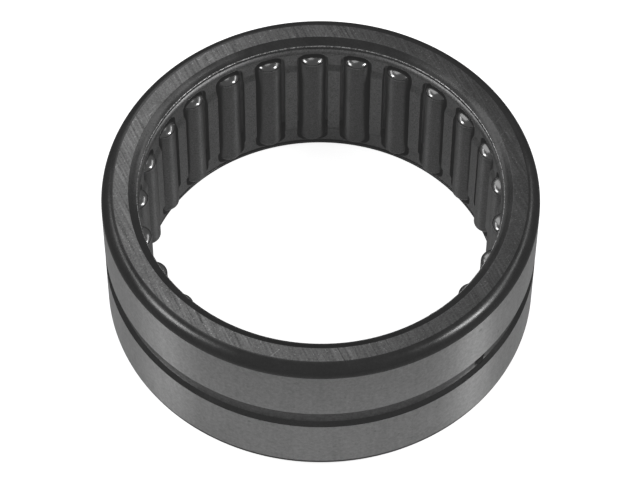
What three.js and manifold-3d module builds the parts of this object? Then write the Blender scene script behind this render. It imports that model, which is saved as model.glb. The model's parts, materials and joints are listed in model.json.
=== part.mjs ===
// Caged needle roller bearing without an inner ring: a lipped outer ring with an oil groove,
// a stepped window cage and one domed roller in each window.
// Millimetres. The origin is the centre of the bearing and +Z runs along its axis.
import * as THREE from 'three';
import { mergeVertices } from 'three/addons/utils/BufferGeometryUtils.js';
import Module from 'manifold-3d';

// Boundary dimensions: a 3 in shaft in a 3 3/4 in housing, 1 1/2 in wide.
const SHAFT_DIAMETER = 76.2;
const HOUSING_DIAMETER = 95.25;
const WIDTH = 38.1;

// Rollers. Without a shaft they sit inward of their running position, against the cage.
const ROLLER_COUNT = 25;
const ROLLER_DIAMETER = 6;
const ROLLER_LENGTH = 29.6;
const ROLLER_DOME_RISE = 1.35;
const ROLLER_SLACK = 0.6;
const FIRST_ROLLER_ANGLE = THREE.MathUtils.degToRad(93);

// Outer ring.
const CORNER_RADIUS = 2.85;
const END_FACE_WIDTH = 3.1;
const MOUTH_CHAMFER_DEPTH = 1.1;
const LIP_RADIUS = 39.7;
const LIP_LEDGE = 0.2;
const LIP_THICKNESS = 1.9;
const RELIEF_WIDTH = 2.2;
const RELIEF_DEPTH = 0.35;
const OIL_GROOVE_WIDTH = 5.2;
const OIL_GROOVE_FLOOR_WIDTH = 2.8;
const OIL_GROOVE_DEPTH = 1.1;
const OIL_HOLE_DIAMETER = 3;
const OIL_HOLE_ANGLE = THREE.MathUtils.degToRad(-42);

// Cage: a strip with outward flanges, stepped inward along the bars between the rims.
const CAGE_THICKNESS = 1.1;
const CAGE_RIM_RADIUS = 39.3;
const CAGE_STEP = 0.64;
const CAGE_STEP_START = 11.9;
const CAGE_STEP_END = 10.35;
const CAGE_END_PLAY = 0.2;
const CAGE_FLANGE_PLAY = 0.4;
const WINDOW_WIDTH = 7.2;
const WINDOW_LENGTH = 31.4;
const WINDOW_CORNER_RADIUS = 2.2;

// Resolution of the turned surfaces.
const RING_SEGMENTS = 72;
const ROLLER_SEGMENTS = 14;
const CORNER_STEPS = 3;
const DOME_STEPS = 3;

// Derived radii.
const outerRadius = HOUSING_DIAMETER / 2;
const rollerRadius = ROLLER_DIAMETER / 2;
const racewayRadius = SHAFT_DIAMETER / 2 + ROLLER_DIAMETER;
const pitchRadius = racewayRadius - rollerRadius - ROLLER_SLACK;
const barRadius = CAGE_RIM_RADIUS - CAGE_STEP;
const halfWidth = WIDTH / 2;

const STEEL = {
  ring: { color: 0x8b8d8e, roughness: 0.42, metalness: 1 },
  cage: { color: 0x6f7071, roughness: 0.5, metalness: 1 },
  roller: { color: 0x8a8c8e, roughness: 0.2, metalness: 1 },
};

const wasm = await Module();
wasm.setup();

function toSolid(geometry) {
  const bare = geometry.clone();
  bare.deleteAttribute('normal');
  bare.deleteAttribute('uv');
  const merged = mergeVertices(bare);
  return new wasm.Manifold(new wasm.Mesh({
    numProp: 3,
    vertProperties: merged.attributes.position.array,
    triVerts: new Uint32Array(merged.index.array),
  }));
}

function toGeometry(solid) {
  const mesh = solid.getMesh();
  const geometry = new THREE.BufferGeometry();
  geometry.setAttribute('position', new THREE.BufferAttribute(mesh.vertProperties, 3));
  geometry.setIndex(new THREE.BufferAttribute(mesh.triVerts, 1));
  geometry.computeVertexNormals();
  return geometry;
}

// Points of a quarter round that starts at angle `from` and turns by a right angle.
function quarterRound(centreX, centreY, radius, from, turn) {
  return Array.from({ length: CORNER_STEPS + 1 }, (_, i) => {
    const angle = from + turn * (Math.PI / 2) * (i / CORNER_STEPS);
    return new THREE.Vector2(centreX + radius * Math.cos(angle), centreY + radius * Math.sin(angle));
  });
}

// The mirror image of a half profile below the mid-plane, in reverse order.
function mirrored(points) {
  return points.map((p) => new THREE.Vector2(p.x, -p.y)).reverse();
}

// Turns a closed (radius, height) loop about the Z axis.
function turned(loop, segments) {
  const geometry = new THREE.LatheGeometry([...loop, loop[0].clone()], segments);
  return geometry.rotateX(Math.PI / 2);
}

function ringProfile() {
  const grooveFloor = outerRadius - OIL_GROOVE_DEPTH;
  const endFaceInner = outerRadius - CORNER_RADIUS - END_FACE_WIDTH;
  const lipBack = halfWidth - LIP_THICKNESS;
  const ledge = halfWidth - MOUTH_CHAMFER_DEPTH;
  const upperHalf = [
    new THREE.Vector2(grooveFloor, OIL_GROOVE_FLOOR_WIDTH / 2),
    new THREE.Vector2(outerRadius, OIL_GROOVE_WIDTH / 2),
    ...quarterRound(outerRadius - CORNER_RADIUS, halfWidth - CORNER_RADIUS, CORNER_RADIUS, 0, 1),
    new THREE.Vector2(endFaceInner, halfWidth),
    new THREE.Vector2(LIP_RADIUS + LIP_LEDGE, ledge),
    new THREE.Vector2(LIP_RADIUS, ledge),
    new THREE.Vector2(LIP_RADIUS, lipBack),
    new THREE.Vector2(racewayRadius + RELIEF_DEPTH, lipBack),
    new THREE.Vector2(racewayRadius + RELIEF_DEPTH, lipBack - RELIEF_WIDTH),
    new THREE.Vector2(racewayRadius, lipBack - RELIEF_WIDTH),
  ];
  return [...upperHalf, ...mirrored(upperHalf)];
}

function outerRing() {
  const body = toSolid(turned(ringProfile(), RING_SEGMENTS));
  const drill = new THREE.CylinderGeometry(
    OIL_HOLE_DIAMETER / 2, OIL_HOLE_DIAMETER / 2, outerRadius - CAGE_RIM_RADIUS, ROLLER_SEGMENTS);
  drill.rotateZ(-Math.PI / 2);
  drill.translate((outerRadius + racewayRadius) / 2, 0, 0);
  drill.rotateZ(OIL_HOLE_ANGLE);
  return toGeometry(body.subtract(toSolid(drill)));
}

function cageProfile() {
  const rimTop = halfWidth - LIP_THICKNESS - CAGE_END_PLAY;
  const flangeRadius = racewayRadius - CAGE_FLANGE_PLAY;
  const slope = Math.atan2(CAGE_STEP, CAGE_STEP_START - CAGE_STEP_END);
  const bend = (CAGE_THICKNESS / 2) * Math.tan(slope / 2);
  const upperHalf = [
    new THREE.Vector2(barRadius + CAGE_THICKNESS, CAGE_STEP_END - bend),
    new THREE.Vector2(CAGE_RIM_RADIUS + CAGE_THICKNESS, CAGE_STEP_START - bend),
    new THREE.Vector2(CAGE_RIM_RADIUS + CAGE_THICKNESS, rimTop - CAGE_THICKNESS),
    new THREE.Vector2(flangeRadius, rimTop - CAGE_THICKNESS),
    new THREE.Vector2(flangeRadius, rimTop),
    new THREE.Vector2(CAGE_RIM_RADIUS, rimTop),
    new THREE.Vector2(CAGE_RIM_RADIUS, CAGE_STEP_START + bend),
    new THREE.Vector2(barRadius, CAGE_STEP_END + bend),
  ];
  return [...upperHalf, ...mirrored(upperHalf)];
}

function roundedWindow() {
  const x = WINDOW_LENGTH / 2 - WINDOW_CORNER_RADIUS;
  const y = WINDOW_WIDTH / 2 - WINDOW_CORNER_RADIUS;
  const corners = [[x, y, 0], [-x, y, 1], [-x, -y, 2], [x, -y, 3]];
  return new THREE.Shape(corners.flatMap(([cx, cy, quarter]) => (
    quarterRound(cx, cy, WINDOW_CORNER_RADIUS, quarter * Math.PI / 2, 1))));
}

// A prism that cuts one window, pointing outward along +X from inside the cage.
function windowCutter() {
  const inside = barRadius - CAGE_THICKNESS;
  const cutter = new THREE.ExtrudeGeometry(roundedWindow(), {
    depth: racewayRadius - inside, bevelEnabled: false,
  });
  return cutter.rotateY(Math.PI / 2).translate(inside, 0, 0);
}

function rollerAngle(index) {
  return FIRST_ROLLER_ANGLE - index * (2 * Math.PI / ROLLER_COUNT);
}

function cage() {
  let solid = toSolid(turned(cageProfile(), RING_SEGMENTS));
  for (let i = 0; i < ROLLER_COUNT; i += 1) {
    solid = solid.subtract(toSolid(windowCutter().rotateZ(rollerAngle(i))));
  }
  return toGeometry(solid);
}

// The upper end of a roller: half an ellipsoid, from its edge to its tip.
function rollerDome() {
  const edge = ROLLER_LENGTH / 2 - ROLLER_DOME_RISE;
  return Array.from({ length: DOME_STEPS + 1 }, (_, i) => {
    const angle = (Math.PI / 2) * (i / DOME_STEPS);
    return new THREE.Vector2(rollerRadius * Math.cos(angle), edge + ROLLER_DOME_RISE * Math.sin(angle));
  });
}

function roller() {
  const upperHalf = rollerDome();
  const profile = [...mirrored(upperHalf), ...upperHalf];
  return new THREE.LatheGeometry(profile, ROLLER_SEGMENTS).rotateX(Math.PI / 2);
}

function named(name, geometry, finish) {
  const mesh = new THREE.Mesh(geometry, new THREE.MeshStandardMaterial(finish));
  mesh.name = name;
  return mesh;
}

const bearing = new THREE.Group();
bearing.add(named('outer_ring', outerRing(), STEEL.ring));
bearing.add(named('cage', cage(), STEEL.cage));
for (let i = 0; i < ROLLER_COUNT; i += 1) {
  const mesh = named(`roller_${String(i + 1).padStart(2, '0')}`, roller(), STEEL.roller);
  mesh.position.set(pitchRadius * Math.cos(rollerAngle(i)), pitchRadius * Math.sin(rollerAngle(i)), 0);
  mesh.rotation.z = rollerAngle(i);
  bearing.add(mesh);
}

export default bearing;
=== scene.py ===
"""Needle roller bearing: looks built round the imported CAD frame. Metres, Z up, axis of the bearing on Z."""
import json
import math
import bpy
from mathutils import Matrix, Vector


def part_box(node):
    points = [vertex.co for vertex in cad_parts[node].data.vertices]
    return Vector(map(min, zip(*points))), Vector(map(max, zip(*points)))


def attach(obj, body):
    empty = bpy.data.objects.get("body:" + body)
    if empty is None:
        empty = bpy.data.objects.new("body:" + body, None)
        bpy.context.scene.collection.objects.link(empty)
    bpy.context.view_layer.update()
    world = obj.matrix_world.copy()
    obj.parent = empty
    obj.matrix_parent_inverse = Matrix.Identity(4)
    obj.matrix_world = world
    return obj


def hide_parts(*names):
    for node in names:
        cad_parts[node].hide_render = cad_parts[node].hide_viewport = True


MM = 0.001
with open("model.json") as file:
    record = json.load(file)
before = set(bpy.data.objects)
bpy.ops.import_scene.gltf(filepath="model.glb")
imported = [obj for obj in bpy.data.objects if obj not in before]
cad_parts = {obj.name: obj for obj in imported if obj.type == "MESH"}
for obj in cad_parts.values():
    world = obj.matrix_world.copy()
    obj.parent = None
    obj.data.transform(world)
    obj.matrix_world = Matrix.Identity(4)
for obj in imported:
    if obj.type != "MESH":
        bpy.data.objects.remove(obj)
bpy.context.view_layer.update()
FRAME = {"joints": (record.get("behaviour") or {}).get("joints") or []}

# Sizes read from the frame.
RING_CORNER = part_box("outer_ring")[1]
CAGE_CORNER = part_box("cage")[1]
ROLLER_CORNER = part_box("roller_01")[1]
OUTER_R = RING_CORNER.x
HALF_WIDTH = RING_CORNER.z
CAGE_TOP = CAGE_CORNER.z
CAGE_FLANGE_R = CAGE_CORNER.x
ROLLER_HALF = ROLLER_CORNER.z
ROLLER_JOINTS = [joint for joint in FRAME["joints"] if joint["name"].startswith("roller_")]
ROLLER_COUNT = len(ROLLER_JOINTS)
PITCH = 2 * math.pi / ROLLER_COUNT
FIRST_ANGLE = math.atan2(ROLLER_JOINTS[0]["pos_m"][1], ROLLER_JOINTS[0]["pos_m"][0])

# Outer ring's section. It is the same above and below the middle.
CORNER_R = 2.85 * MM
FACE_WIDTH = 3.1 * MM
MOUTH_DEPTH = 1.1 * MM
LIP_R = 39.7 * MM
LIP_LEDGE = 0.2 * MM
LIP_THICKNESS = 1.9 * MM
EDGE_FILLET = 0.18 * MM
RACEWAY_R = 44.1 * MM
RELIEF_WIDTH = 2.2 * MM
RELIEF_DEPTH = 0.35 * MM
GROOVE_HALF = 2.6 * MM
GROOVE_FLOOR_HALF = 1.4 * MM
GROOVE_DEPTH = 1.1 * MM
GROOVE_R = OUTER_R - GROOVE_DEPTH
LEDGE_Z = HALF_WIDTH - MOUTH_DEPTH

# Fillets of that section: radius and steps.
OUTER_CORNER = (CORNER_R, 24)
GROOVE_FLOOR_FILLET = (1.4 * MM, 10)
GROOVE_EDGE_FILLET = (0.12 * MM, 3)
FACE_FILLET = (0.18 * MM, 4)
LEDGE_FILLET = (0.02 * MM, 1)
LIP_EDGE_FILLET = (EDGE_FILLET, 4)
LIP_BACK_FILLET = (0.12 * MM, 3)
RELIEF_FILLET = (0.2 * MM, 3)
RACEWAY_FILLET = (0.1 * MM, 2)

# Oil hole through the groove's floor.
HOLE_R = 1.5 * MM
HOLE_ANGLE = math.radians(-42)
COUNTERSINK_WIDTH = 0.4 * MM
COUNTERSINK_START = GROOVE_R - 0.15 * MM
COUNTERSINK_END = GROOVE_R + 0.25 * MM
HOLE_RIM = OUTER_R - 0.2 * MM   # nothing further out belongs to the hole
DRILL_START = RACEWAY_R - 1 * MM
DRILL_END = OUTER_R + 5 * MM

# Cage's section: a bent strip, by the radius of its inner face at the rims.
STRIP = 1.1 * MM
CAGE_R = 39.3 * MM
CAGE_MIDDLE_R = CAGE_R + STRIP / 2
STEP = 0.64 * MM
STEP_START = 11.9 * MM
STEP_END = 10.35 * MM
WINDOW_HALF_WIDTH = 3.6 * MM
WINDOW_HALF_LENGTH = 15.7 * MM
WINDOW_CORNER = 2.2 * MM
WINDOW_STRAIGHT = WINDOW_HALF_LENGTH - WINDOW_CORNER
ROLLED_EDGE = 0.14 * MM

# Bends of that section: radius and steps.
STRIP_END = (0, 1)
FLANGE_BEND = (0.9 * MM, 6)
STEP_BEND = (0.8 * MM, 6)

# Rollers: each end is half an ellipsoid.
ROLLER_R = 3.0 * MM
DOME_RISE = 1.35 * MM
SHOULDER = ROLLER_HALF - DOME_RISE

# How fine the meshes are.
RING_SEGMENTS = 360
RING_STRETCH = 1.2 * MM
HOLE_SEGMENTS = 48
CAGE_STRETCH = 1.5 * MM
BAR_COLUMNS = 4                 # from the middle of a bar to a window
SILL_COLUMNS = 8                # across a window's end
CAGE_COLUMNS = 2 * BAR_COLUMNS + SILL_COLUMNS
WINDOW_CORNER_ROWS = 8
ROLLED_EDGE_STEPS = 3
ROLLER_SEGMENTS = 64
DOME_ROWS = 20
SIDE_ROWS = 6
NEARLY = 0.001 * MM

# Angles past which an edge stays sharp.
RING_CREASE = math.radians(40)
FLAT_CAGE_CREASE = math.radians(60)
CAGE_CREASE = math.radians(50)
ROLLER_CREASE = math.radians(60)

# How the finish of a face of the ring is told by its place and its normal.
SLIVER = 0.01 * MM
UPRIGHT = 0.05
GROOVE_WALL_TILT = 0.55

# Steel: the mean grey of each finish, and the directions of its lines.
OUTSIDE_BASE = 0.475
GROOVE_BASE = 0.16
FACE_BASE = 0.17
BLACK_BASE = 0.077
RACEWAY_BASE = 0.75
CAGE_BASE = 0.25
ROLLER_BASE = 0.2
ROLLER_END_BASE = 0.32
WORN_BASES = (0.15, 0.8)        # specks of skin, bare steel
# Painted shade: near-black greys for the walls of the drilled hole, standing in for the shade inside it
HOLE_PAINTED_SHADE_BASES = (0.02, 0.05)
SCRATCH_ANGLE = math.radians(115)
STRAY_ANGLE = math.radians(48)
ACROSS_THE_LINES = 0.25         # a quarter turn
CLOUD_SPAN = (0.3, 0.7)         # where most of a noise's values lie

# Floor: its grey as seen, its grey in the steel near the part and far off, and the radii between those two.
FLOOR_REACH = 3.0
FLOOR_SEEN = (0.86, 0.88)
FLOOR_MIRRORED = (0.86, 0.3)
FLOOR_FADE = (0.07, 0.12)
FLOOR_GLOW = 0.9

# Lights: name, azimuth and elevation in degrees, distance, width, height, radiance.
SOFTBOXES = (
    ("softbox_right_near", -16, 41, 0.7, 0.11, 0.24, 13.0),
    ("softbox_right_far", 18, 43, 0.7, 0.57, 0.12, 1.7),
    ("softbox_left_near", -164, 41, 0.7, 0.18, 0.24, 6.5),
    ("softbox_left_far", 165, 43, 0.7, 0.5, 0.12, 1.9),
    ("card_back_left", 112, 54, 0.23, 0.09, 0.22, 0.85),
)
WORLD_RADIANCE = 0.135

# View.
VIEW_ELEVATION = math.radians(54.83)
VIEW_DISTANCE = 15.02 * OUTER_R
SENSOR_WIDTH = 36
FOCAL_PER_WIDTH = 5.053         # focal length over picture width
ROLL = 0.0077
SHIFT = (-0.0006, -0.0035)      # of the picture's width
CLIP_START = 0.05
VEIL = 0.018                    # grey that a bright surround lays over black


# ---------------------------------------------------------------- outlines and meshes

def arc(centre, radius, start, end, steps):
    """Points on an arc in the (radius, height) plane, angles in radians."""
    angles = [start + (end - start) * i / steps for i in range(steps + 1)]
    return [(centre[0] + radius * math.cos(a), centre[1] + radius * math.sin(a)) for a in angles]


def filleted(corners, closed=True):
    """A polyline with each corner (x, y, fillet radius, steps) rounded."""
    out = []
    count = len(corners)
    for i, (x, y, radius, steps) in enumerate(corners):
        if radius == 0 or (not closed and i in (0, count - 1)):
            out.append((x, y))
            continue
        here = Vector((x, y))
        a = (Vector(corners[i - 1][:2]) - here).normalized()
        b = (Vector(corners[(i + 1) % count][:2]) - here).normalized()
        half = a.angle(b) / 2
        centre = here + (a + b).normalized() * (radius / math.sin(half))
        tangent = radius / math.tan(half)
        first, last = here + a * tangent - centre, here + b * tangent - centre
        start = math.atan2(first.y, first.x)
        turn = math.atan2(first.x * last.y - first.y * last.x, first.dot(last))
        out.extend(arc(centre, radius, start, start + turn, steps))
    return out


def subdivided(points, longest, closed=True):
    """The same line with no stretch longer than that."""
    out = []
    for i, p in enumerate(points):
        out.append(p)
        if i == len(points) - 1 and not closed:
            break
        q = points[(i + 1) % len(points)]
        parts = max(1, math.ceil(math.dist(p, q) / longest))
        dx, dy = q[0] - p[0], q[1] - p[1]
        out.extend((p[0] + dx * k / parts, p[1] + dy * k / parts) for k in range(1, parts))
    return out


def mirrored(points):
    """The same points below the middle, in reverse order."""
    return [(r, -z, *rest) for r, z, *rest in reversed(points)]


def turned(profile, segments, closed=True):
    """Vertices and outward quads of a (radius, height) line turned about Z, its outside on its right."""
    rows = len(profile)
    angles = [2 * math.pi * k / segments for k in range(segments)]
    vertices = [(r * math.cos(a), r * math.sin(a), z) for a in angles for r, z in profile]
    faces = []
    for k in range(segments):
        here, after = k * rows, ((k + 1) % segments) * rows
        for i in range(rows if closed else rows - 1):
            j = (i + 1) % rows
            faces.append((here + i, after + i, after + j, here + j))
    return vertices, faces


def make_object(name, vertices, faces, material, crease=RING_CREASE):
    mesh = bpy.data.meshes.new(name)
    mesh.from_pydata(vertices, [], faces)
    mesh.validate()
    mesh.materials.append(material)
    mesh.shade_smooth()
    mesh.set_sharp_from_angle(angle=crease)
    piece = bpy.data.objects.new(name, mesh)
    bpy.context.scene.collection.objects.link(piece)
    return piece


def apply_modifiers(piece):
    depsgraph = bpy.context.evaluated_depsgraph_get()
    mesh = bpy.data.meshes.new_from_object(piece.evaluated_get(depsgraph))
    piece.modifiers.clear()
    piece.data = mesh


# ---------------------------------------------------------------- materials

class Nodes:
    """Short calls for building a node material."""

    def __init__(self, name):
        self.material = bpy.data.materials.new(name)
        self.material.use_nodes = True
        self.tree = self.material.node_tree
        self.tree.nodes.clear()
        self.shader = self.add("ShaderNodeBsdfPrincipled")
        output = self.add("ShaderNodeOutputMaterial")
        self.link(self.shader.outputs[0], output.inputs["Surface"])

    def add(self, kind, **settings):
        node = self.tree.nodes.new(kind)
        for key, value in settings.items():
            setattr(node, key, value)
        return node

    def link(self, source, target):
        self.tree.links.new(source, target)

    def feed(self, socket, value):
        if hasattr(value, "is_output"):
            self.link(value, socket)
        else:
            socket.default_value = value

    def math(self, operation, a, b=0.0):
        node = self.add("ShaderNodeMath", operation=operation)
        self.feed(node.inputs[0], a)
        self.feed(node.inputs[1], b)
        return node.outputs[0]

    def times(self, a, b):
        return self.math("MULTIPLY", a, b)

    def total(self, *terms):
        result = terms[0]
        for term in terms[1:]:
            result = self.math("ADD", result, term)
        return result

    def spread(self, value, amount):
        """A noise value as an offset about zero."""
        return self.times(self.math("SUBTRACT", value, 0.5), amount)

    def ramp(self, value, span, to=(0.0, 1.0)):
        """A smooth step from one value to another while the input crosses the span."""
        node = self.add("ShaderNodeMapRange", interpolation_type="SMOOTHSTEP")
        for socket, x in zip(node.inputs, (value, *span, *to)):
            self.feed(socket, x)
        return node.outputs[0]

    def mix(self, factor, a, b):
        node = self.add("ShaderNodeMix", data_type="FLOAT")
        for socket, x in zip((node.inputs[0], node.inputs[2], node.inputs[3]), (factor, a, b)):
            self.feed(socket, x)
        return node.outputs[0]

    def grey(self, value):
        node = self.add("ShaderNodeCombineColor")
        for socket in node.inputs:
            self.feed(socket, value)
        return node.outputs[0]

    def vector(self, *parts):
        node = self.add("ShaderNodeCombineXYZ")
        for socket, part in zip(node.inputs, parts):
            self.feed(socket, part)
        return node.outputs[0]

    def position(self):
        return self.add("ShaderNodeTexCoord").outputs["Object"]

    def split(self, vector):
        node = self.add("ShaderNodeSeparateXYZ")
        self.link(vector, node.inputs[0])
        return node.outputs

    def radius(self, position):
        """Distance from the axis."""
        x, y, _ = self.split(position)
        return self.math("SQRT", self.total(self.times(x, x), self.times(y, y)))

    def scaled(self, vector, scale, turn=0.0):
        node = self.add("ShaderNodeMapping")
        self.link(vector, node.inputs["Vector"])
        node.inputs["Scale"].default_value = scale
        node.inputs["Rotation"].default_value = (0, 0, turn)
        return node.outputs[0]

    def noise(self, vector, scale=1.0, detail=3.0, roughness=0.5):
        """Noise with that many features in a unit of the vector."""
        node = self.add("ShaderNodeTexNoise")
        self.link(vector, node.inputs["Vector"])
        node.inputs["Scale"].default_value = scale
        node.inputs["Detail"].default_value = detail
        node.inputs["Roughness"].default_value = roughness
        return node.outputs["Fac"]

    def scratches(self, position, angle, across, along, detail, roughness):
        """Noise drawn out into straight lines at that angle, by its features in a metre across and along."""
        lined_up = self.scaled(position, (1, 1, 1), -angle)
        return self.noise(self.scaled(lined_up, (along, across, 1)), detail=detail, roughness=roughness)

    def bump(self, height, depth, under=None):
        """The normal of a relief that deep, laid over the normal under it."""
        node = self.add("ShaderNodeBump")
        self.feed(node.inputs["Height"], height)
        node.inputs["Strength"].default_value = 1.0
        node.inputs["Distance"].default_value = depth
        if under is not None:
            self.link(under, node.inputs["Normal"])
        return node.outputs[0]

    def round_the_axis(self):
        return self.add("ShaderNodeTangent", direction_type="RADIAL", axis="Z").outputs[0]

    def lay(self, direction, strength):
        """Fine lines in one direction: highlights stretch across them."""
        self.link(direction, self.shader.inputs["Tangent"])
        self.shader.inputs["Anisotropic Rotation"].default_value = ACROSS_THE_LINES
        self.shader.inputs["Anisotropic"].default_value = strength

    def metal(self, base, roughness, relief):
        self.link(self.grey(base), self.shader.inputs["Base Color"])
        self.shader.inputs["Metallic"].default_value = 1.0
        self.feed(self.shader.inputs["Roughness"], roughness)
        self.link(relief, self.shader.inputs["Normal"])
        return self.material


def ground_round(name, colour, contrast=1.0):
    """Ground steel with fine lines round the ring, so highlights stretch along the axis."""
    n = Nodes(name)
    position = n.position()
    x, y, height = n.split(position)
    angle = n.math("ARCTAN2", y, x)
    lines = n.noise(n.vector(n.times(angle, 0.6), n.times(height, 9000)))
    streaks = n.noise(n.vector(n.times(angle, 28), n.times(height, 25)), roughness=0.6)
    mottle = n.noise(position, scale=110, detail=4, roughness=0.65)
    grain = n.noise(position, scale=1300, roughness=0.8)
    stains = n.ramp(n.noise(position, scale=620, detail=2, roughness=0.4), (0.2, 0.3), to=(0.65, 1.0))
    marks = n.total(n.spread(mottle, 0.1), n.spread(grain, 0.5), n.spread(streaks, 0.12),
                    n.spread(lines, 0.05))
    base = n.times(n.total(colour, n.times(marks, contrast)), stains)
    n.lay(n.round_the_axis(), 1.0)
    return n.metal(base, 0.34, n.bump(grain, 0.006 * MM, n.bump(lines, 0.002 * MM)))


def ground_outside():
    return ground_round("ground_outside", OUTSIDE_BASE)


def turned_groove():
    return ground_round("turned_groove", GROOVE_BASE, contrast=0.6)


def ground_end_face():
    """Surface-ground steel: straight oblique scratches right across the ring, and a few stray ones."""
    n = Nodes("ground_end_face")
    position = n.position()
    scratch = n.scratches(position, SCRATCH_ANGLE, across=2000, along=60, detail=4, roughness=0.6)
    stray = n.scratches(position, STRAY_ANGLE, across=1500, along=170, detail=2, roughness=0.4)
    patch = n.noise(position, scale=70, roughness=0.6)
    grain = n.noise(position, scale=2800, detail=2, roughness=0.6)
    speck = n.noise(position, scale=2600, detail=1, roughness=0.4)
    marked = n.times(n.spread(scratch, 0.58), n.ramp(patch, (0.35, 0.65), to=(0.2, 1.0)))
    base = n.total(FACE_BASE, marked, n.spread(grain, 0.26), n.spread(patch, 0.1),
                   n.ramp(stray, (0.66, 0.74), to=(0.0, 0.1)), n.ramp(speck, (0.69, 0.79), to=(0.0, 0.3)))
    n.lay(n.vector(math.cos(SCRATCH_ANGLE), math.sin(SCRATCH_ANGLE)), 0.5)
    return n.metal(base, 0.3, n.bump(grain, 0.006 * MM, n.bump(scratch, 0.012 * MM)))


def hardened_skin():
    """Unground black skin left by hardening, on corners, groove walls, mouth and lips."""
    n = Nodes("hardened_skin")
    position = n.position()
    cloud = n.noise(position, scale=140)
    grain = n.noise(position, scale=2200, detail=2, roughness=0.7)
    base = n.total(BLACK_BASE, n.spread(grain, 0.1), n.spread(cloud, 0.04))
    n.shader.inputs["Specular Tint"].default_value = (0.5, 0.5, 0.5, 1)
    relief = n.bump(grain, 0.006 * MM, n.bump(cloud, 0.01 * MM))
    return n.metal(base, n.ramp(cloud, CLOUD_SPAN, to=(0.21, 0.3)), relief)


def ground_raceway():
    n = Nodes("ground_raceway")
    grain = n.noise(n.position(), scale=1500, detail=2, roughness=0.7)
    return n.metal(n.total(RACEWAY_BASE, n.spread(grain, 0.06)), 0.6, n.bump(grain, 0.003 * MM))


def worn_edge():
    """Bare bright steel where the lip's edge has been rubbed, broken by specks of skin."""
    n = Nodes("worn_edge")
    bare = n.ramp(n.noise(n.position(), scale=2600, roughness=0.7), (0.4, 0.62))
    return n.metal(n.mix(bare, *WORN_BASES), 0.4, n.bump(bare, 0.01 * MM))


# Painted shade: the drilled hole's walls get a near-black cloudy grey, so the hole reads as a dark spot
def hole_painted_shade():
    n = Nodes("hole_painted_shade")
    cloud = n.noise(n.position(), scale=900, detail=2)
    return n.metal(n.ramp(cloud, CLOUD_SPAN, to=HOLE_PAINTED_SHADE_BASES), 0.6, n.bump(cloud, 0.01 * MM))


def cage_steel():
    """Pressed strip with a satin skin."""
    n = Nodes("cage_steel")
    position = n.position()
    grain = n.noise(position, scale=3200, detail=2, roughness=0.6)
    cloud = n.noise(position, scale=120)
    base = n.total(CAGE_BASE, n.spread(grain, 0.55), n.spread(cloud, 0.06))
    return n.metal(base, n.ramp(cloud, CLOUD_SPAN, to=(0.42, 0.5)), n.bump(grain, 0.008 * MM))


def roller_side():
    """Ground and lapped steel, its fine lines running round each roller."""
    n = Nodes("roller_side")
    position = n.position()
    lines = n.noise(n.scaled(position, (300, 300, 7000)))
    cloud = n.noise(position, scale=200)
    grain = n.noise(position, scale=3200, detail=2, roughness=0.6)
    base = n.total(ROLLER_BASE, n.spread(cloud, 0.05), n.spread(grain, 0.36))
    n.lay(n.round_the_axis(), 0.92)
    return n.metal(base, n.ramp(cloud, CLOUD_SPAN, to=(0.36, 0.4)), n.bump(lines, 0.0008 * MM))


def roller_end():
    """The rounded ends, tumbled smooth and brighter than the sides."""
    n = Nodes("roller_end")
    cloud = n.noise(n.position(), scale=900)
    base = n.total(ROLLER_END_BASE, n.spread(cloud, 0.1))
    return n.metal(base, n.ramp(cloud, CLOUD_SPAN, to=(0.16, 0.22)), n.bump(cloud, 0.008 * MM))


def floor_white():
    """A pale floor. What the steel mirrors of it is darker, as if the pale sheet ended near the part."""
    n = Nodes("floor_white")
    position = n.position()
    seen = n.ramp(n.noise(position, scale=3, detail=2), (0.2, 0.8), to=FLOOR_SEEN)
    in_the_steel = n.ramp(n.radius(position), FLOOR_FADE, to=FLOOR_MIRRORED)
    direct = n.add("ShaderNodeLightPath").outputs["Is Camera Ray"]
    n.link(n.grey(n.mix(direct, in_the_steel, seen)), n.shader.inputs["Base Color"])
    n.shader.inputs["Emission Color"].default_value = (1, 1, 1, 1)
    n.link(n.times(direct, FLOOR_GLOW), n.shader.inputs["Emission Strength"])
    n.shader.inputs["Roughness"].default_value = 0.9
    n.shader.inputs["Specular IOR Level"].default_value = 0.1
    return n.material


# ---------------------------------------------------------------- outer ring

# Finishes of the ring's faces; the last one is painted shade for the drilled hole
RING_FINISHES = (hardened_skin, ground_outside, ground_end_face, ground_raceway, turned_groove, worn_edge,
                 hole_painted_shade)


def ring_profile():
    """Closed section of the outer ring, counter-clockwise in (radius, height)."""
    lip_back = HALF_WIDTH - LIP_THICKNESS
    relief_r, relief_end = RACEWAY_R + RELIEF_DEPTH, lip_back - RELIEF_WIDTH
    upper = [
        (GROOVE_R, GROOVE_FLOOR_HALF, *GROOVE_FLOOR_FILLET),
        (OUTER_R, GROOVE_HALF, *GROOVE_EDGE_FILLET),
        (OUTER_R, HALF_WIDTH, *OUTER_CORNER),
        (OUTER_R - CORNER_R - FACE_WIDTH, HALF_WIDTH, *FACE_FILLET),
        (LIP_R + LIP_LEDGE, LEDGE_Z, *LEDGE_FILLET),
        (LIP_R, LEDGE_Z, *LIP_EDGE_FILLET),
        (LIP_R, lip_back, *LIP_BACK_FILLET),
        (relief_r, lip_back, *RELIEF_FILLET),
        (relief_r, relief_end, *RELIEF_FILLET),
        (RACEWAY_R, relief_end, *RACEWAY_FILLET),
    ]
    return subdivided(filleted(upper + mirrored(upper)), RING_STRETCH)


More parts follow.
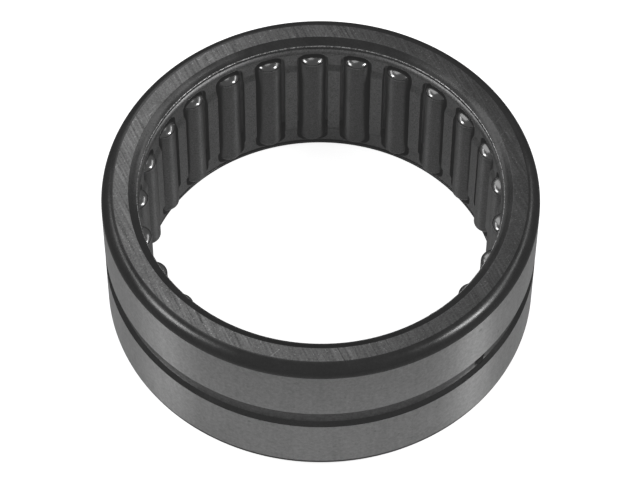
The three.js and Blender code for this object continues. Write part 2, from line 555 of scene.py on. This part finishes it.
def cut_oil_hole(ring, material):
    """Drills the oil hole from the groove to the raceway, with a small countersink."""
    wide = HOLE_R + COUNTERSINK_WIDTH
    profile = [(HOLE_R, DRILL_START), (HOLE_R, COUNTERSINK_START), (wide, COUNTERSINK_END), (wide, DRILL_END)]
    rows = len(profile)
    vertices, faces = turned(profile, HOLE_SEGMENTS, closed=False)
    faces.append(tuple(k * rows for k in reversed(range(HOLE_SEGMENTS))))
    faces.append(tuple(k * rows + rows - 1 for k in range(HOLE_SEGMENTS)))
    drill = make_object("oil_hole_drill", vertices, faces, material)
    z_to_x = Matrix(((0, 0, 1, 0), (1, 0, 0, 0), (0, 1, 0, 0), (0, 0, 0, 1)))
    drill.data.transform(Matrix.Rotation(HOLE_ANGLE, 4, "Z") @ z_to_x)
    cut = ring.modifiers.new("oil_hole", "BOOLEAN")
    cut.operation = "DIFFERENCE"
    cut.solver = "EXACT"
    cut.object = drill
    apply_modifiers(ring)
    ring.data.set_sharp_from_angle(angle=RING_CREASE)
    bpy.data.objects.remove(drill)


def finish_of(face):
    """The finish that a face of the ring has, by its place."""
    centre, tilt = face.center, abs(face.normal.z)
    radius, height = math.hypot(centre.x, centre.y), abs(centre.z)
    drill = Vector((math.cos(HOLE_ANGLE), math.sin(HOLE_ANGLE), 0))
    along = drill.dot(centre)
    aside = (centre - drill * along).length
    # Faces of the drilled hole take the painted shade
    if aside < HOLE_R + COUNTERSINK_WIDTH - SLIVER and along > RACEWAY_R and radius < HOLE_RIM:
        return hole_painted_shade
    if tilt < UPRIGHT and radius > OUTER_R - SLIVER:
        return ground_outside
    if height > HALF_WIDTH - SLIVER:
        return ground_end_face
    if tilt < UPRIGHT and abs(radius - RACEWAY_R) < SLIVER:
        return ground_raceway
    if tilt < GROOVE_WALL_TILT and height < GROOVE_HALF and radius > GROOVE_R - SLIVER:
        return turned_groove
    if LIP_R < radius < LIP_R + EDGE_FILLET and 0 < LEDGE_Z - height < EDGE_FILLET:
        return worn_edge
    return hardened_skin


def outer_ring():
    vertices, faces = turned(ring_profile(), RING_SEGMENTS)
    skin = hardened_skin()
    ring = make_object("ring_body", vertices, faces, skin)
    cut_oil_hole(ring, skin)
    for finish in RING_FINISHES[1:]:
        ring.data.materials.append(finish())
    for face in ring.data.polygons:
        face.material_index = RING_FINISHES.index(finish_of(face))
    return ring


# ---------------------------------------------------------------- cage

def cage_section():
    """Middle line of the bent strip from the upper flange to the lower one, its outward side on its left."""
    top = CAGE_TOP - STRIP / 2
    upper = [(CAGE_FLANGE_R, top, *STRIP_END), (CAGE_MIDDLE_R, top, *FLANGE_BEND),
             (CAGE_MIDDLE_R, STEP_START, *STEP_BEND), (CAGE_MIDDLE_R - STEP, STEP_END, *STEP_BEND)]
    return filleted(upper + mirrored(upper), closed=False)


def with_stops(points, stops):
    """An open line's points, and one more wherever it passes one of those heights."""
    out = [points[0]]
    for p, q in zip(points, points[1:]):
        low, high = sorted((p[1], q[1]))
        passed = [z for z in stops if low + NEARLY < z < high - NEARLY]
        for z in sorted(passed, reverse=p[1] > q[1]):
            out.append((p[0] + (q[0] - p[0]) * (z - p[1]) / (q[1] - p[1]), z))
        out.append(q)
    return out


def cage_rows():
    """The strip's section at every row of the cage's mesh, from the top: (radius, height, outward normal)."""
    quarter = [math.pi / 2 * k / WINDOW_CORNER_ROWS for k in range(WINDOW_CORNER_ROWS + 1)]
    stops = [WINDOW_STRAIGHT + WINDOW_CORNER * math.sin(a) for a in quarter]
    points = with_stops(subdivided(cage_section(), CAGE_STRETCH, closed=False), stops + [-z for z in stops])
    rows = []
    for i, (r, z) in enumerate(points):
        before, after = points[max(0, i - 1)], points[min(len(points) - 1, i + 1)]
        along = Vector((after[0] - before[0], after[1] - before[1])).normalized()
        rows.append((r, z, Vector((-along.y, along.x))))
    return rows


def window_half_width(r, z):
    """Half width of a window at a point of the section. Past the window, that of its end's straight part."""
    if abs(z) > WINDOW_HALF_LENGTH + NEARLY or r >= CAGE_R + STRIP:
        return WINDOW_HALF_WIDTH - WINDOW_CORNER
    if abs(z) <= WINDOW_STRAIGHT:
        return WINDOW_HALF_WIDTH
    inside = WINDOW_CORNER ** 2 - min(abs(z) - WINDOW_STRAIGHT, WINDOW_CORNER) ** 2
    return WINDOW_HALF_WIDTH - WINDOW_CORNER + math.sqrt(max(0.0, inside))


def column_offsets(r, z):
    """Where the columns of one pitch cross a row: lengths along the strip from the middle of the window."""
    edge = window_half_width(r, z)
    half_pitch = PITCH / 2 * CAGE_MIDDLE_R
    bar = [-half_pitch + (half_pitch - edge) * k / BAR_COLUMNS for k in range(BAR_COLUMNS + 1)]
    sill = [-edge + 2 * edge * k / SILL_COLUMNS for k in range(1, SILL_COLUMNS)]
    return bar + sill + [-x for x in reversed(bar)]


def window_outline(first, last):
    """The (column, row) places round a window between two rows, counter-clockwise seen from outside."""
    left, right = BAR_COLUMNS, BAR_COLUMNS + SILL_COLUMNS
    places = [(left, row) for row in range(first, last)]
    places += [(column, last) for column in range(left, right)]
    places += [(right, row) for row in range(last, first, -1)]
    return places + [(column, first) for column in range(right, left, -1)]


def cage_body(material):
    """One bent strip with a rounded window for each roller, in quads, its edges rolled by a bevel."""
    rows = cage_rows()
    bottom = len(rows) - 1
    offsets = [column_offsets(r, z) for r, z, _ in rows]
    in_window = [row for row, (_, z, _) in enumerate(rows) if abs(z) < WINDOW_HALF_LENGTH + NEARLY]
    first, last = in_window[0], in_window[-1]
    index, vertices, faces, edges = {}, [], [], set()

    def pair(window, row, column):
        """The inner and the outer vertex at that place. A pitch's last column is the next one's first."""
        if column == CAGE_COLUMNS:
            window, column = (window + 1) % ROLLER_COUNT, 0
        place = (window, row, column)
        if place not in index:
            index[place] = len(vertices)
            r, z, normal = rows[row]
            angle = FIRST_ANGLE + window * PITCH + offsets[row][column] / CAGE_MIDDLE_R
            for out in (-STRIP / 2, STRIP / 2):
                reach = r + normal.x * out
                vertices.append((reach * math.cos(angle), reach * math.sin(angle), z + normal.y * out))
        return index[place], index[place] + 1

    def close(a, b, top=False):
        """Joins the inner and the outer side of the strip between two neighbouring pairs."""
        faces.append((a[0], b[0], b[1], a[1]) if top else (a[0], a[1], b[1], b[0]))
        edges.update((frozenset((a[0], b[0])), frozenset((a[1], b[1]))))

    for window in range(ROLLER_COUNT):
        grid = [[pair(window, row, column) for column in range(CAGE_COLUMNS + 1)] for row in range(len(rows))]
        for row in range(bottom):
            for column in range(CAGE_COLUMNS):
                if first <= row < last and BAR_COLUMNS <= column < BAR_COLUMNS + SILL_COLUMNS:
                    continue
                a, b = grid[row][column], grid[row][column + 1]
                c, d = grid[row + 1][column + 1], grid[row + 1][column]
                faces.append((a[0], d[0], c[0], b[0]))
                faces.append((a[1], b[1], c[1], d[1]))
        outline = [grid[row][column] for column, row in window_outline(first, last)]
        for a, b in zip(outline, outline[1:] + outline[:1]):
            close(a, b)
        for a, b in zip(grid[0], grid[0][1:]):
            close(a, b, top=True)
        for a, b in zip(grid[bottom], grid[bottom][1:]):
            close(a, b)
    cage = make_object("cage_body", vertices, faces, material, FLAT_CAGE_CREASE)
    roll_edges(cage, edges)
    return cage


def roll_edges(piece, edges):
    """Rounds those edges, each given as the set of its two vertices."""
    weights = piece.data.attributes.new("bevel_weight_edge", "FLOAT", "EDGE")
    for edge in piece.data.edges:
        if frozenset(edge.vertices) in edges:
            weights.data[edge.index].value = 1.0
    bevel = piece.modifiers.new("rolled_edges", "BEVEL")
    bevel.limit_method = "WEIGHT"
    bevel.width = ROLLED_EDGE
    bevel.segments = ROLLED_EDGE_STEPS
    apply_modifiers(piece)
    piece.data.shade_smooth()
    piece.data.set_sharp_from_angle(angle=CAGE_CREASE)


# ---------------------------------------------------------------- rollers

def roller_profile():
    """Half section of a roller, from next to its lower tip to next to its upper tip."""
    quarter = [math.pi / 2 * k / DOME_ROWS for k in range(DOME_ROWS)]
    dome = [(ROLLER_R * math.cos(a), SHOULDER + DOME_RISE * math.sin(a)) for a in quarter]
    side = [(ROLLER_R, SHOULDER * k / SIDE_ROWS) for k in range(1 - SIDE_ROWS, SIDE_ROWS)]
    return mirrored(dome) + side + dome


def roller(name, side, end, angle, centre):
    """A roller with its own axis on Z, turned and moved to its place."""
    profile = roller_profile()
    rows = len(profile)
    vertices, faces = turned(profile, ROLLER_SEGMENTS, closed=False)
    lower_tip, upper_tip = len(vertices), len(vertices) + 1
    vertices += [(0, 0, -ROLLER_HALF), (0, 0, ROLLER_HALF)]
    for k in range(ROLLER_SEGMENTS):
        here, after = k * rows, ((k + 1) % ROLLER_SEGMENTS) * rows
        faces.append((lower_tip, after, here))
        faces.append((upper_tip, here + rows - 1, after + rows - 1))
    piece = make_object(name, vertices, faces, side, ROLLER_CREASE)
    piece.data.materials.append(end)
    for face in piece.data.polygons:
        face.material_index = 1 if abs(face.center.z) > SHOULDER else 0
    piece.location = centre
    piece.rotation_euler = (0, 0, angle)
    return piece


# ---------------------------------------------------------------- stage

def add_floor():
    signs = ((-1, -1), (1, -1), (1, 1), (-1, 1))
    corners = [(x * FLOOR_REACH, y * FLOOR_REACH, -HALF_WIDTH) for x, y in signs]
    floor = make_object("floor", corners, [(0, 1, 2, 3)], floor_white())


def softbox(name, azimuth, elevation, distance, width, height, radiance):
    """A rectangular light that faces the centre of the bearing."""
    light = bpy.data.lights.new(name, "AREA")
    light.shape = "RECTANGLE"
    light.size = width
    light.size_y = height
    light.energy = radiance * math.pi * width * height
    lamp = bpy.data.objects.new(name, light)
    azimuth, elevation = math.radians(azimuth), math.radians(elevation)
    level = math.cos(elevation)
    direction = Vector((level * math.cos(azimuth), level * math.sin(azimuth), math.sin(elevation)))
    lamp.location = direction * distance
    lamp.rotation_euler = direction.to_track_quat("Z", "Y").to_euler()
    bpy.context.scene.collection.objects.link(lamp)


def add_lights():
    for settings in SOFTBOXES:
        softbox(*settings)
    world = bpy.data.worlds.new("studio")
    world.use_nodes = True
    background = world.node_tree.nodes["Background"]
    background.inputs[0].default_value = (1, 1, 1, 1)
    background.inputs[1].default_value = WORLD_RADIANCE
    bpy.context.scene.world = world


def add_camera():
    data = bpy.data.cameras.new("camera")
    data.sensor_width = SENSOR_WIDTH
    data.lens = FOCAL_PER_WIDTH * SENSOR_WIDTH
    data.shift_x, data.shift_y = SHIFT
    data.clip_start = CLIP_START
    camera = bpy.data.objects.new("camera", data)
    away = Vector((0, -math.cos(VIEW_ELEVATION), math.sin(VIEW_ELEVATION)))
    turn = away.to_track_quat("Z", "Y").to_matrix() @ Matrix.Rotation(ROLL, 3, "Z")
    camera.matrix_world = Matrix.Translation(away * VIEW_DISTANCE) @ turn.to_4x4()
    bpy.context.scene.collection.objects.link(camera)
    bpy.context.scene.camera = camera


def develop():
    """Plain contrast, with the faint veil that a bright surround lays over a dark subject."""
    view = bpy.context.scene.view_settings
    view.view_transform = "Standard"
    view.use_curve_mapping = True
    view.curve_mapping.curves[3].points[0].location = (0.0, VEIL)
    view.curve_mapping.update()


def main():
    ring = outer_ring()
    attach(ring, "outer_ring")
    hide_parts("outer_ring")
    cage = cage_body(cage_steel())
    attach(cage, "cage")
    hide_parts("cage")
    side, end = roller_side(), roller_end()
    for joint in ROLLER_JOINTS:
        node = joint["child"]
        centre = Vector(joint["pos_m"])
        piece = roller(f"{node}_body", side, end, math.atan2(centre.y, centre.x), centre)
        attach(piece, node)
        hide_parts(node)
    add_floor()
    add_lights()
    add_camera()
    develop()


main()
